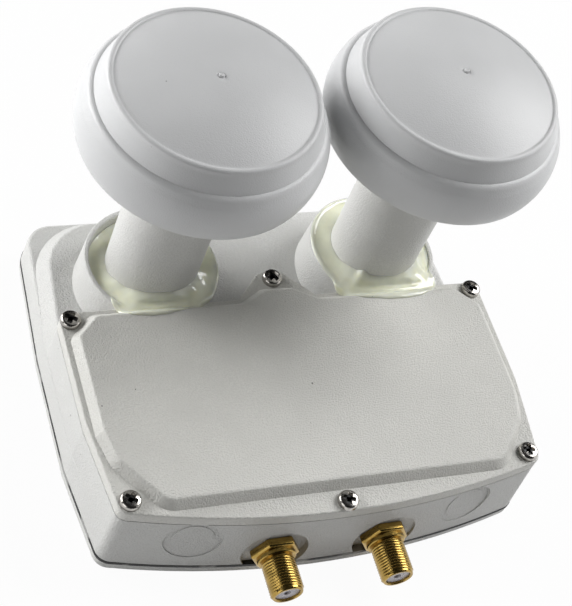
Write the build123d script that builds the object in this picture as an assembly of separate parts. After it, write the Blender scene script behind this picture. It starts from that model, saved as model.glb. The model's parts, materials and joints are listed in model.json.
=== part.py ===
from build123d import *
from math import degrees, radians, sqrt, tan
import os

# Twin-feed satellite converter: a flat cast body lying on its rear cover, with two feeds pointing up.
# Millimetres. The origin is on the rest face, midway between the two feed axes.
# +Z runs up along the feeds, -Y points to the connectors and +X to the right seen from the connectors.

# Heights, from the rest face up
rear_cover_t = 2.6
rear_gasket_t = 0.5
ledge_z = 12.1
shoulder_z = 16.4
rim_z = 23.7
front_gasket_t = 0.3
flange_t = 3.6
panel_rise = 2.6
partition_t = 2.4

# Widths: the caps stand side by side, and the body's width follows from the feeds
cap_belly_d = 66.2
cap_apart = 2.8
feed_pitch = cap_belly_d + cap_apart
cover_side_margin = 30.2
cover_half_w = feed_pitch / 2 + cover_side_margin
neck_d = 26.1
cover_neck_gap = 1.0

# Front cover, seen along the feeds
cover_top_y = -neck_d / 2 - cover_neck_gap
cover_kink_y = -49.0
cover_low_inset = 3.1
cover_low_half_w = cover_half_w - cover_low_inset
cover_low_corner_y = -75.7
cover_bow = 7.7
cover_corner_r = 3.4
cover_low_corner_r = 3.4
lobe_base_half_w = 12.0
lobe_half_w = 3.6
lobe_rise = 8.8
lobe_r = 2.6
flange_edge_r = 0.5

# Raised panel of the front cover
panel_inset = 1.7
panel_top_inset = 1.5
panel_kink_drop = 4.5
panel_slant_drop = 13.7
panel_slant_inset = 3.8
panel_low_inset = 11.6
panel_low_drop = 1.4
panel_lobe_half_w = 4.4
panel_screw_gap = 0.3
panel_corner_r = 4.0
panel_low_corner_r = 7.0
panel_slope = 38.0
panel_edge_r = 1.1
panel_wall = 1.8

# Body walls
draft = 3.3
back_y = 28.2
back_side_inset = 1.4
back_corner_r = 8.5
wall = 2.6
front_rim_w = 4.6
gasket_inset = 0.5
rear_gasket_inset = 0.1
base_edge_r = 1.2
rear_edge_r = 0.5
rear_lip_t = 1.6
rear_lip_h = 2.2
shoulder_front_spread = 0.9
shoulder_side_inset = 3.3
shoulder_back_inset = 0.5
shoulder_corner_r = 20.0
shoulder_slope = 37.0
shoulder_edge_r = 1.5

# Feeds, collars and the sealant in them
wave_bore_d = 18.0
spigot_d = 23.0
wave_boss_d = 30.0
sealant_w = 4.95
collar_h = 12.5
collar_bore_d = neck_d + 2 * sealant_w
collar_wall = 1.4
collar_rim_d = collar_bore_d + 2 * collar_wall
collar_draft = 4.0
collar_edge_r = 0.45
sealant_drop = 3.0
sealant_front = 6.0
sealant_lip_t = 0.8
sealant_lip_reach = 1.2
sealant_climb = 3.6
horn_start_drop = 6.2
horn_flange_below = 3.4
horn_flange_above = 2.4
horn_top_drop = 3.0
choke_count = 2
choke_w = 2.8
choke_wall = 1.8
choke_depth = 6.5
seal_d = 2.4

# Weather caps
cap_bottom_z = 80.2
cap_belly_h = 9.3
cap_shoulder_h = 5.2
cap_ledge_h = 0.6
cap_band_h = 5.5
cap_edge_h = 1.3
cap_dome = 3.8
cap_tuck = 1.5
cap_shoulder_inset = 1.7
cap_ledge_w = 1.55
cap_band_inset = 2.05
cap_edge_w = 1.85
cap_wall = 1.6
cap_edge_r = 0.5
cap_shoulder_r = 1.0
cap_lip_r = 0.6
cap_side_gap = 0.8
cap_pip_d = 1.7
cap_pip_h = 0.5

# Screws
front_head_d = 5.8
front_head_h = 2.0
front_head_r = 0.9
front_shank_d = 3.0
front_shank_l = 9.0
front_boss_d = 7.6
front_screw_inset = 2.95
low_screw_inset = 3.25
low_screw_rise = 2.75
mid_screw_inset = 2.75
rear_head_d = 5.6
rear_head_h = 1.4
rear_shank_d = 3.0
rear_shank_l = 9.0
rear_boss_d = 7.0
rear_screw_low_y = -69.0
rear_screw_back_y = 12.0
rear_screw_mid_inset = 2.8
small_head_d = 4.4
small_head_h = 1.4
small_head_r = 0.7
small_shank_d = 2.4
small_boss_d = 5.6
thread_depth = 2.4

# Connectors and ports
port_pitch = 32.6
port_seat_inset = 1.1
port_spot_d = 18.8
hex_af = 12.2
hex_t = 2.6
thread_d = 9.525
thread_l = 10.3
connector_collar_d = 10.8
connector_collar_l = 1.3
connector_shank_l = 4.6
connector_bore_d = 6.8
insulator_recess = 0.7
contact_d = 2.0
contact_hole_d = 1.1
contact_pin_d = 0.9
contact_reach = 3.0
blank_inset = 21.1
blank_z = 16.0
blank_d = 16.0
blank_depth = 0.7
blank_lean = 7.0
blank_plug_d = 11.6
blank_plug_rise = 0.15

# Boards and what they carry
board_t = 1.0
board_gap = 0.8
shield_t = 1.2
shield_depth = 4.4
shield_margin = 9.0
shield_corner_r = 3.0
shield_screw_inset = 3.4
back_short_wall = 1.4
back_short_extra = 1.4
probe_w = 1.6
probe_l = 6.0
probe_t = 0.15
puck_d = 5.6
puck_h = 2.2
puck_pitch = 34.0
puck_y = -27.0
tuner_d = 3.0
tuner_head_d = 5.0
tuner_head_h = 1.2
tuner_gap = 0.6
transistor_size = (2.2, 1.4, 0.7)
transistor_pitch = 7.0
transistor_y = -15.0
mixer_size = (5.0, 5.0, 0.9)
mixer_y = -44.0
link_y = -55.0
link_pins = 8
link_pin_step = 2.54
link_body_w = 2.5
link_body_h = 2.4
link_pin_w = 0.64
link_slot_margin = 1.2
post_h = 3.2
post_d = 5.6
switch_margin = 10.0
switch_low_margin = 3.0
switch_top_margin = 4.0
switch_screw_inset = 5.0
chip_size = (10.0, 10.0, 1.3)
chip_above = 12.7
regulator_size = (9.2, 8.6, 3.0)
regulator_x = 30.0
capacitor_d = 5.0
capacitor_h = 3.6
capacitor_x = -30.0
capacitor_pitch = 8.0
capacitor_count = 4

# Clearances
fit_gap = 0.05
screw_gap = 0.1
cover_gap = 0.3

# Heights and places that follow from the sizes above
seam_z = rear_cover_t + rear_gasket_t
cover_z = rim_z + front_gasket_t
flange_z = cover_z + flange_t
panel_z = flange_z + panel_rise
collar_rim_z = shoulder_z + collar_h
partition_z = shoulder_z - partition_t
feed_x = feed_pitch / 2
port_x = port_pitch / 2
blank_x = cover_low_half_w - blank_inset
panel_low_half_w = cover_low_half_w - panel_low_inset
back_half_w = cover_half_w - back_side_inset
shoulder_front_half_w = cover_half_w + shoulder_front_spread
shoulder_back_half_w = cover_half_w - shoulder_side_inset
cap_belly_z = cap_bottom_z + cap_belly_h
cap_shoulder_z = cap_belly_z + cap_shoulder_h
cap_step_z = cap_shoulder_z + cap_ledge_h
cap_edge_z = cap_step_z + cap_band_h
cap_face_z = cap_edge_z + cap_edge_h
horn_start_z = cap_bottom_z - horn_start_drop
cap_bottom_d = cap_belly_d - 2 * cap_tuck
cap_shoulder_d = cap_belly_d - 2 * cap_shoulder_inset
cap_step_d = cap_shoulder_d - 2 * cap_ledge_w
cap_edge_d = cap_step_d - 2 * cap_band_inset
cap_face_d = cap_edge_d - 2 * cap_edge_w
port_z = seam_z + hex_af / 2 + fit_gap
board_z = port_z + contact_pin_d / 2
board_top_z = board_z + board_t
shield_z = board_z - shield_depth
switch_z = shoulder_z + post_h
switch_top_z = switch_z + board_t
draft_slope = tan(radians(draft))
rim_spread = (rim_z - seam_z) * draft_slope
ledge_spread = (rim_z - ledge_z) * draft_slope
shoulder_spread = (shoulder_z - ledge_z) * tan(radians(shoulder_slope))
shoulder_back_y = back_y - shoulder_back_inset - (ledge_z - seam_z) * draft_slope
cavity_inset = wall + shoulder_spread
cavity_half_w = shoulder_back_half_w - cavity_inset
cavity_back_y = shoulder_back_y - cavity_inset
cavity_corner_r = shoulder_corner_r - cavity_inset
low_mid_y = cover_low_corner_y - cover_bow
port_seat_y = low_mid_y + port_seat_inset
thread_end_y = port_seat_y - hex_t - connector_collar_l - thread_l
lobe_screw_y = cover_top_y + lobe_rise - mid_screw_inset
sides = {"left": -1, "right": 1}

# Screw places: front cover, rear cover, shield and switch board
front_screws = [
    (cover_half_w - front_screw_inset, cover_top_y - front_screw_inset),
    (front_screw_inset - cover_half_w, cover_top_y - front_screw_inset),
    (cover_low_half_w - low_screw_inset, cover_low_corner_y + low_screw_rise),
    (low_screw_inset - cover_low_half_w, cover_low_corner_y + low_screw_rise),
    (0, lobe_screw_y),
    (0, low_mid_y + mid_screw_inset),
]
rear_screw_x = cavity_half_w + fit_gap
rear_low_screw_x = cover_low_half_w - wall
rear_screws = [(s * rear_screw_x, rear_screw_back_y) for s in (1, -1)]
rear_screws += [(s * rear_low_screw_x, rear_screw_low_y) for s in (1, -1)]
rear_screws += [(0, low_mid_y + wall + rear_screw_mid_inset), (0, cavity_back_y)]
board_half_w = rear_screw_x - rear_boss_d / 2 - board_gap
board_low_y = port_seat_y + connector_shank_l + board_gap
board_back_y = cavity_back_y - rear_boss_d / 2 - board_gap
contact_end_y = board_low_y + contact_reach
shield_half_w = cavity_half_w - shield_margin
shield_low_y = contact_end_y + board_gap
shield_back_y = cavity_back_y - shield_margin
shield_mid_y = (shield_low_y + shield_back_y) / 2
shield_screw_x = shield_half_w - shield_screw_inset
shield_back_screw_x = feed_x - (wave_boss_d + small_boss_d) / 2 - board_gap
shield_low_screw_y = shield_low_y + shield_screw_inset
shield_back_screw_y = shield_back_y - shield_screw_inset
shield_screws = [(s * shield_screw_x, y) for s in (1, -1) for y in (shield_low_screw_y, shield_mid_y)]
shield_screws += [(s * shield_back_screw_x, shield_back_screw_y) for s in (1, -1)]
shield_screws += [(0, shield_low_screw_y), (0, shield_mid_y)]
switch_half_w = cover_low_half_w - switch_margin
switch_low_y = cover_low_corner_y + switch_low_margin
switch_top_y = cover_top_y - front_rim_w - switch_top_margin
switch_screw_x = switch_half_w - switch_screw_inset
parts_y = (switch_low_y + switch_top_y) / 2
chip_y = parts_y + chip_above
switch_screws = [(s * switch_screw_x, y) for s in (1, -1)
                 for y in (switch_low_y + switch_screw_inset, switch_top_y - switch_screw_inset)]


def rod(d, z0, z1, x=0.0, y=0.0):
    """An upright cylinder of diameter d between two heights."""
    return Pos(x, y, (z0 + z1) / 2) * Cylinder(d / 2, z1 - z0)


def rod_y(d, y0, y1, x, z):
    """A cylinder of diameter d along Y between two places."""
    return Pos(x, (y0 + y1) / 2, z) * Rot(90, 0, 0) * Cylinder(d / 2, abs(y1 - y0))


def slab(sketch, z0, z1):
    """A flat sketch raised between two heights."""
    return Pos(0, 0, z0) * extrude(sketch, z1 - z0)


def block(size, x, y, z):
    """A box standing on height z."""
    return Pos(x, y, z + size[2] / 2) * Box(*size)


def turned(points, x=0.0):
    """A closed profile of (radius, height) points turned about a feed axis."""
    return Pos(x, 0, 0) * revolve(Plane.XZ * make_face(Polyline(*points, close=True)), Axis.Z)


def mirrored(points):
    """Points of the right half followed by their mirror images, in order round the outline."""
    return points + [(-x, y) for x, y in reversed(points)]


def outline(points):
    """A flat face bounded by straight lines."""
    return make_face(Polyline(*points, close=True))


def rounded(face, places, radius):
    """The face with its corners at the given places, and at their mirror images, rounded."""
    corners = []
    for x, y in places:
        for s in (1, -1):
            corners.append(min(face.vertices(), key=lambda v: abs(v.X - s * x) + abs(v.Y - y)))
    return fillet(corners, radius)


def half_space(y, z0, z1):
    """Everything behind a given Y between two heights, for clipping."""
    reach = 2 * cover_half_w
    return Pos(0, y + reach / 2, (z0 + z1) / 2) * Box(2 * reach, reach, z1 - z0)


def cover_plan():
    """The cover's outline without its lobe: a bowed lower edge and sides that draw in below the kink."""
    low_corner = (cover_low_half_w, cover_low_corner_y)
    top_corner = (cover_half_w, cover_top_y)
    rest = Polyline(*mirrored([low_corner, (cover_half_w, cover_kink_y), top_corner]))
    bow = ThreePointArc((-cover_low_half_w, cover_low_corner_y), (0, low_mid_y), low_corner)
    face = make_face([*rest.edges(), *bow.edges()])
    return rounded(rounded(face, [top_corner], cover_corner_r), [low_corner], cover_low_corner_r)


def lobe_plan():
    """The lobe at the top of the cover, round the middle screw."""
    tip = (lobe_half_w, cover_top_y + lobe_rise)
    root = [(lobe_base_half_w, cover_top_y - front_rim_w), (lobe_base_half_w, cover_top_y)]
    face = outline(mirrored([*root, tip]))
    return rounded(face, [tip], lobe_r)


def panel_plan():
    """The raised panel's outline, cut back at its corners round the screws and lifted to the lobe."""
    side_x = cover_half_w - panel_inset
    top_y = cover_top_y - panel_top_inset
    keep_off = front_head_d / 2 + panel_screw_gap
    corner_x, corner_y = front_screws[0]
    cut = sqrt(2) * keep_off + side_x + top_y - corner_x - corner_y
    points = [
        (panel_low_half_w, cover_low_corner_y - panel_low_drop),
        (cover_half_w - panel_slant_inset, cover_kink_y - panel_slant_drop),
        (side_x, cover_kink_y - panel_kink_drop),
        (side_x, top_y - cut),
        (side_x - cut, top_y),
        (lobe_base_half_w, top_y),
        (panel_lobe_half_w, lobe_screw_y - keep_off),
    ]
    face = rounded(outline(mirrored(points)), points[:2], panel_low_corner_r)
    return rounded(face, points[3:], panel_corner_r)


def base_plan():
    """The body's outline at the rear seam: the cover's outline with its draft, and the back of the body."""
    front_half_w = cover_half_w + rim_spread
    back_corner = (back_half_w, back_y)
    back = outline(mirrored([(front_half_w, cover_kink_y), (front_half_w, cover_top_y), back_corner]))
    return offset(plain, rim_spread, kind=Kind.INTERSECTION) + rounded(back, [back_corner], back_corner_r)


def shoulder_plan():
    """The shoulder block's outline at its foot on the ledge."""
    back_corner = (shoulder_back_half_w, shoulder_back_y)
    face = outline(mirrored([(shoulder_front_half_w, cover_top_y - front_rim_w), back_corner]))
    return rounded(face, [back_corner], shoulder_corner_r)


def cavity_plan():
    """The hollow behind the partition, kept clear of the shoulder block's slope."""
    back_corner = (cavity_half_w, cavity_back_y)
    back = outline(mirrored([(shoulder_front_half_w - cavity_inset, cover_kink_y), back_corner]))
    return offset(plain, -wall) + rounded(back, [back_corner], cavity_corner_r)


plain = cover_plan()
cover_outline = plain + lobe_plan()
base = base_plan()
cavity = cavity_plan()


def screw_rods(places, d, z0, z1):
    """Like rods at a list of places."""
    return [rod(d, z0, z1, x, y) for x, y in places]


def pan_screws(places, seat_z, head, shank_d, shank_l, up=1):
    """Pan-head screws seated at one height, heads up or down, as separate solids."""
    head_d, head_h, head_r = head
    pan = rod(head_d, 0, head_h)
    pan = fillet(pan.edges().sort_by(Axis.Z)[-1], head_r)
    screw = pan + rod(shank_d, -shank_l, 0)
    turn = Rot(0, 0, 0) if up > 0 else Rot(180, 0, 0)
    return Compound(children=[Pos(x, y, seat_z) * turn * screw for x, y in places])


def body_shape():
    """The outside of the cast body: base, shoulder block, box under the cover and the two collars."""
    body = Pos(0, 0, seam_z) * extrude(base, ledge_z - seam_z, taper=draft)
    ledge_edges = body.faces().sort_by(Axis.Z)[-1].edges()
    body = fillet([e for e in ledge_edges if e.center().Y > cover_top_y + base_edge_r], base_edge_r)
    ramp = Pos(0, 0, ledge_z) * extrude(shoulder_plan(), shoulder_z - ledge_z, taper=shoulder_slope)
    ramp = fillet(ramp.faces().sort_by(Axis.Z)[-1].edges(), shoulder_edge_r)
    box_foot = offset(plain, ledge_spread, kind=Kind.INTERSECTION)
    box = Pos(0, 0, ledge_z) * extrude(box_foot, rim_z - ledge_z, taper=draft)
    body = body + ramp + box + slab(lobe_plan(), ledge_z, rim_z)
    rim_r = collar_rim_d / 2
    foot_r = rim_r + collar_h * tan(radians(collar_draft))
    collar = Pos(0, 0, shoulder_z + collar_h / 2) * Cone(foot_r, rim_r, collar_h)
    collar = collar - rod(collar_bore_d, shoulder_z, collar_rim_z)
    collar = fillet(collar.faces().sort_by(Axis.Z)[-1].edges(), collar_edge_r)
    for s in sides.values():
        ring = Pos(s * feed_x, 0, 0) * collar
        body += ring & half_space(cover_top_y - front_rim_w / 2, shoulder_z, rim_z)
        body += ring & half_space(cover_top_y + fit_gap, rim_z, collar_rim_z)
    return body


def front_hollow():
    """The space under the front cover, less the screw bosses and the switch board's posts."""
    space = slab(offset(plain, -front_rim_w), shoulder_z, rim_z)
    keep = screw_rods(front_screws, front_boss_d, shoulder_z, rim_z)
    keep += screw_rods(switch_screws, post_d, shoulder_z, switch_z)
    return space - keep


def rear_hollow():
    """The space behind the partition, less the pillars, the waveguide bosses and the shield's bosses."""
    keep = screw_rods(rear_screws, rear_boss_d, seam_z, partition_z)
    keep += screw_rods(shield_screws, small_boss_d, board_top_z, partition_z)
    keep += screw_rods([(s * feed_x, 0) for s in sides.values()], wave_boss_d, board_top_z, partition_z)
    return slab(cavity, seam_z, partition_z) - keep


def blank_port(s):
    """The recess of a blanked port, deeper at its top, with the plug left standing in it."""
    half_chord = cover_low_half_w
    bow_r = (half_chord ** 2 + cover_bow ** 2) / (2 * cover_bow)
    centre_y = low_mid_y + bow_r
    wall_r = bow_r + (rim_z - blank_z) * draft_slope
    turn = degrees(blank_x / wall_r)
    wall_y = centre_y - sqrt(wall_r ** 2 - blank_x ** 2)
    frame = Pos(s * blank_x, wall_y, blank_z) * Rot(0, 0, s * turn) * Rot(90 - blank_lean, 0, 0)
    cut = Cylinder(blank_d / 2, 2 * blank_depth)
    plug = Pos(0, 0, -blank_depth) * Cylinder(blank_plug_d / 2, 2 * blank_plug_rise)
    return frame * (cut - plug)


def housing():
    """The cast body, hollowed from the front and the back, with its ports and holes."""
    cuts = [front_hollow(), rear_hollow()]
    cuts += screw_rods(front_screws, front_shank_d + 2 * fit_gap, cover_z - front_shank_l, rim_z)
    cuts += screw_rods(rear_screws, rear_shank_d + 2 * fit_gap, seam_z, rear_shank_l + fit_gap)
    cuts += screw_rods(shield_screws, small_shank_d + 2 * fit_gap, board_top_z, board_top_z + thread_depth)
    cuts += screw_rods(switch_screws, small_shank_d + 2 * fit_gap, switch_z - thread_depth, switch_z)
    slot = (link_pins * link_pin_step + 2 * link_slot_margin, link_body_w + 2 * link_slot_margin, partition_t)
    cuts.append(block(slot, 0, link_y, partition_z))
    for s in sides.values():
        cuts.append(rod(spigot_d + 2 * fit_gap, board_top_z, shoulder_z, s * feed_x, 0))
        cuts.append(rod_y(port_spot_d, port_seat_y, low_mid_y - 2 * wall, s * port_x, port_z))
        cuts.append(rod_y(thread_d + 2 * fit_gap, port_seat_y, port_seat_y + 2 * wall, s * port_x, port_z))
        cuts.append(blank_port(s))
    return body_shape() - cuts


def front_cover():
    """The cast cover: flange with lobe, raised panel with sloping sides, hollow behind."""
    panel = panel_plan()
    spread = panel_rise * tan(radians(panel_slope))
    raised = loft([Pos(0, 0, flange_z) * panel, Pos(0, 0, panel_z) * offset(panel, -spread)], ruled=True)
    raised = fillet(raised.faces().sort_by(Axis.Z)[-1].edges(), panel_edge_r)
    flange = slab(cover_outline, cover_z, flange_z)
    flange = fillet(flange.faces().sort_by(Axis.Z)[-1].edges(), flange_edge_r)
    hollow = slab(offset(panel, -spread - panel_wall), cover_z, panel_z - panel_wall)
    holes = screw_rods(front_screws, front_shank_d + 2 * screw_gap, cover_z, flange_z)
    return flange + raised - hollow - holes


def front_gasket():
    """The flat seal under the front cover, with eyes round the screws."""
    eyes = [Pos(x, y) * Circle(front_boss_d / 2) for x, y in front_screws]
    edge = offset(cover_outline, -gasket_inset)
    inner = offset(plain, -front_rim_w) - eyes
    holes = screw_rods(front_screws, front_shank_d + 2 * screw_gap, rim_z, cover_z)
    return slab(edge - inner, rim_z, cover_z) - holes


def rear_cover():
    """The rear plate, with a lip inside the body and countersunk holes."""
    plate = slab(base, 0, rear_cover_t)
    plate = fillet(plate.faces().sort_by(Axis.Z)[0].edges(), rear_edge_r)
    lip = offset(cavity, -cover_gap) - offset(cavity, -cover_gap - rear_lip_t)
    lip = slab(lip, rear_cover_t, rear_cover_t + rear_gasket_t + rear_lip_h)
    lip = lip - screw_rods(rear_screws, rear_boss_d + 2 * cover_gap, rear_cover_t, 2 * seam_z)
    shank_d = thread_d + 2 * cover_gap
    inner_y = port_seat_y + connector_shank_l + cover_gap
    lip = lip - [rod_y(shank_d, port_seat_y, inner_y, s * port_x, port_z) for s in sides.values()]
    hole_d = rear_shank_d + 2 * screw_gap
    sink = Pos(0, 0, rear_head_h / 2) * Cone(rear_head_d / 2 + screw_gap, hole_d / 2, rear_head_h)
    holes = screw_rods(rear_screws, hole_d, 0, rear_cover_t)
    holes += [Pos(x, y, 0) * sink for x, y in rear_screws]
    return plate + lip - holes


def rear_gasket():
    """The flat seal of the rear seam, with eyes round the screws."""
    eyes = [Pos(x, y) * Circle(rear_boss_d / 2) for x, y in rear_screws]
    ring = offset(base, -rear_gasket_inset) - (cavity - eyes)
    holes = screw_rods(rear_screws, rear_shank_d + 2 * screw_gap, rear_cover_t, seam_z)
    return slab(ring, rear_cover_t, seam_z) - holes


def rear_cover_screws():
    """Countersunk screws, flush with the rest face."""
    head = Pos(0, 0, rear_head_h / 2) * Cone(rear_head_d / 2, rear_shank_d / 2, rear_head_h)
    screw = head + rod(rear_shank_d, rear_head_h, rear_shank_l)
    return Compound(children=[Pos(x, y, 0) * screw for x, y in rear_screws])


def cap_profile_radius(outer_d):
    """The inside radius behind an outside diameter of the cap."""
    return outer_d / 2 - cap_wall


def dome_arc(edge_r, edge_z, top_z):
    """Half of a shallow dome, from its edge to its top on the axis."""
    rise = top_z - edge_z
    sphere_r = (edge_r ** 2 + rise ** 2) / (2 * rise)
    mid_r = edge_r / 2
    mid_z = top_z - sphere_r + sqrt(sphere_r ** 2 - mid_r ** 2)
    return ThreePointArc((edge_r, edge_z), (mid_r, mid_z), (0, top_z))


def feed_cap(s):
    """A weather cap: domed face, sloping edge band, short wall, step, and a skirt that bellies out."""
    face = (cap_face_d / 2, cap_face_z)
    edge = (cap_edge_d / 2, cap_edge_z)
    step = (cap_step_d / 2, cap_step_z)
    shoulder = (cap_shoulder_d / 2, cap_shoulder_z)
    belly = (cap_belly_d / 2, cap_belly_z)
    lip = (cap_bottom_d / 2, cap_bottom_z)
    in_lip = (cap_profile_radius(cap_bottom_d), cap_bottom_z)
    in_belly = (cap_profile_radius(cap_belly_d), cap_belly_z)
    in_step_z = cap_step_z - cap_wall
    in_shoulder = (cap_profile_radius(cap_shoulder_d), in_step_z)
    in_step = (cap_profile_radius(cap_step_d), in_step_z)
    in_edge = (cap_profile_radius(cap_edge_d), cap_edge_z - cap_wall / 2)
    in_face = (cap_profile_radius(cap_face_d), cap_face_z - cap_wall)
    top = (0, cap_face_z + cap_dome)
    in_top = (0, cap_face_z + cap_dome - cap_wall)
    lines = [
        dome_arc(*face, top[1]),
        Polyline(face, edge, step, shoulder),
        ThreePointArc(shoulder, belly, lip),
        Line(lip, in_lip),
        ThreePointArc(in_lip, in_belly, in_shoulder),
        Polyline(in_shoulder, in_step, in_edge, in_face),
        dome_arc(*in_face, in_top[1]),
        Line(in_top, top),
    ]
    section = make_face([e for line in lines for e in line.edges()])
    for place, radius in ((edge, cap_edge_r), (shoulder, cap_shoulder_r), (lip, cap_lip_r)):
        corner = min(section.vertices(), key=lambda v: abs(v.X - place[0]) + abs(v.Y - place[1]))
        section = fillet(corner, radius)
    cap = revolve(Plane.XZ * section, Axis.Z)
    pip = rod(cap_pip_d, top[1] - cap_wall / 2, top[1] + cap_pip_h)
    return Pos(s * feed_x, 0, 0) * (cap + pip)


# Horn sizes that follow from the cap that covers it
horn_flange_r = cap_profile_radius(cap_belly_d) - cap_side_gap
horn_flange_low_z = cap_belly_z - horn_flange_below
horn_flange_top_z = cap_belly_z + horn_flange_above
horn_seat_r = cap_profile_radius(cap_shoulder_d) - cover_gap
horn_seat_z = cap_step_z - cap_wall - fit_gap
horn_rim_r = cap_profile_radius(cap_edge_d) - cover_gap
horn_rim_z = cap_face_z - cap_wall - horn_top_drop
seal_mid_r = cap_profile_radius(cap_belly_d) - seal_d / 2
groove_r = seal_mid_r - seal_d / 2
groove_half_h = seal_d / 2 + screw_gap


def feed_horn(s):
    """A feed casting: spigot, neck, flare, flange with its seal groove, and a mouth ringed by chokes."""
    profile = [
        (spigot_d / 2, board_top_z),
        (spigot_d / 2, shoulder_z),
        (neck_d / 2, shoulder_z),
        (neck_d / 2, horn_start_z),
        (horn_flange_r, horn_flange_low_z),
        (horn_flange_r, cap_belly_z - groove_half_h),
        (groove_r, cap_belly_z - groove_half_h),
        (groove_r, cap_belly_z + groove_half_h),
        (horn_flange_r, cap_belly_z + groove_half_h),
        (horn_flange_r, horn_flange_top_z),
        (horn_seat_r, horn_flange_top_z),
        (horn_seat_r, horn_seat_z),
        (horn_rim_r, horn_seat_z),
        (horn_rim_r, horn_rim_z),
    ]
    r = horn_rim_r - choke_wall
    for _ in range(choke_count):
        profile += [(r, horn_rim_z), (r, horn_rim_z - choke_depth)]
        r -= choke_w
        profile += [(r, horn_rim_z - choke_depth), (r, horn_rim_z)]
        r -= choke_wall
    profile += [(r, horn_rim_z), (wave_bore_d / 2, horn_start_z), (wave_bore_d / 2, board_top_z)]
    return turned(profile, s * feed_x)


def cap_seal(s):
    """The sealing ring in the horn's groove."""
    return Pos(s * feed_x, 0, cap_belly_z) * Torus(seal_mid_r, seal_d / 2 - fit_gap)


def sealant(s):
    """Compound that fills the collar round the neck, stands higher in front and laps on to the cover."""
    bore_r = collar_bore_d / 2 - fit_gap
    top_z = flange_z + sealant_lip_t
    neck = rod(neck_d + 2 * fit_gap, shoulder_z, top_z + sealant_climb)
    pool = rod(2 * bore_r, shoulder_z, collar_rim_z - sealant_drop)
    pool = pool & half_space(cover_top_y + rim_spread, shoulder_z, collar_rim_z)
    front = rod(2 * bore_r, rim_z, top_z) & half_space(cover_top_y + fit_gap, rim_z, top_z)
    front = front - half_space(cover_top_y + sealant_front, rim_z, top_z)
    lap = rod(2 * bore_r, flange_z, top_z) & half_space(cover_top_y - sealant_lip_reach, flange_z, top_z)
    lap = lap - half_space(cover_top_y + sealant_front, flange_z, top_z)
    climb_z = top_z + sealant_climb
    climb = Pos(0, 0, (top_z + climb_z) / 2) * Cone(bore_r, neck_d / 2, sealant_climb)
    climb = climb & half_space(cover_top_y - sealant_lip_reach, top_z, climb_z)
    climb = climb - half_space(cover_top_y + sealant_front, top_z, climb_z)
    return Pos(s * feed_x, 0, 0) * (pool + front + lap + climb - neck)


def connector_shell(s):
    """An F-connector body: hexagon on the spot face, collar, threaded barrel and the shank in the wall."""
    hexagon = extrude(RegularPolygon(hex_af / 2, 6, major_radius=False), hex_t)
    hexagon = Pos(s * port_x, port_seat_y, port_z) * Rot(90, 0, 0) * hexagon
    collar_y = port_seat_y - hex_t - connector_collar_l
    barrel = rod_y(connector_collar_d, port_seat_y - hex_t, collar_y, s * port_x, port_z)
    barrel += rod_y(thread_d, collar_y, thread_end_y, s * port_x, port_z)
    barrel += rod_y(thread_d, port_seat_y, port_seat_y + connector_shank_l, s * port_x, port_z)
    bore = rod_y(connector_bore_d, thread_end_y, port_seat_y + connector_shank_l, s * port_x, port_z)
    return hexagon + barrel - bore


def connector_insulator(s):
    """The insulator that fills the connector's bore."""
    end_y = thread_end_y + insulator_recess
    body = rod_y(connector_bore_d - 2 * fit_gap, end_y, port_seat_y + connector_shank_l, s * port_x, port_z)
    return body - rod_y(contact_d + 2 * fit_gap, end_y, port_seat_y + connector_shank_l, s * port_x, port_z)


def connector_contact(s):
    """The sprung centre contact, with a pin that lies under the edge of the board."""
    end_y = thread_end_y + 2 * insulator_recess
    inner_y = port_seat_y + connector_shank_l
    socket = rod_y(contact_d, end_y, inner_y, s * port_x, port_z)
    socket = socket - rod_y(contact_hole_d, end_y, end_y + (inner_y - end_y) / 2, s * port_x, port_z)
    return socket + rod_y(contact_pin_d, inner_y, contact_end_y, s * port_x, port_z)


def rf_board():
    """The microwave board, across the ends of both waveguides."""
    corner = (board_half_w, board_back_y)
    plan = outline(mirrored([(board_half_w, board_low_y), corner]))
    plan = plan & offset(cavity, -board_gap)
    plan = plan - [Pos(x, y) * Circle(rear_boss_d / 2 + board_gap) for x, y in rear_screws]
    return slab(plan, board_z, board_top_z) - screw_rods(
        shield_screws, small_shank_d + 2 * screw_gap, board_z, board_top_z)


def rf_shield():
    """The shield tray behind the board, with screw posts and a back-short cup behind each waveguide."""
    size = (2 * shield_half_w, shield_back_y - shield_low_y)
    tray = Pos(0, shield_mid_y) * RectangleRounded(*size, shield_corner_r)
    inside = offset(tray, -shield_t)
    shell = slab(tray, shield_z, board_z) - slab(inside, shield_z + shield_t, board_z)
    shell += screw_rods(shield_screws, small_boss_d, shield_z, board_z)
    cup_d = wave_bore_d + 2 * back_short_wall
    cup_z = shield_z - back_short_extra
    for s in sides.values():
        shell += rod(cup_d, cup_z, board_z, s * feed_x, 0)
        shell -= rod(wave_bore_d, cup_z + shield_t, board_z, s * feed_x, 0)
        shell -= rod(tuner_d + 2 * fit_gap, shield_z, shield_z + shield_t, s * puck_pitch / 2, puck_y)
    return shell - screw_rods(shield_screws, small_shank_d + 2 * screw_gap, shield_z, board_z)


def tuning_screws():
    """Screws in the shield that stop short of the oscillator pucks."""
    tip_z = board_z - puck_h - tuner_gap
    screw = rod(tuner_head_d, shield_z - tuner_head_h, shield_z) + rod(tuner_d, shield_z, tip_z)
    return Compound(children=[Pos(s * puck_pitch / 2, puck_y, 0) * screw for s in sides.values()])


def polarisation_probes():
    """Two strips in the end of each waveguide, square to one another."""
    strip = Box(probe_l, probe_w, probe_t)
    reach = wave_bore_d / 2 - probe_l / 2 - fit_gap
    z = board_top_z + probe_t / 2
    strips = [Pos(s * (feed_x - reach), 0, z) * strip for s in sides.values()]
    strips += [Pos(s * feed_x, -reach, z) * Rot(0, 0, 90) * strip for s in sides.values()]
    return Compound(children=strips)


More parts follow.
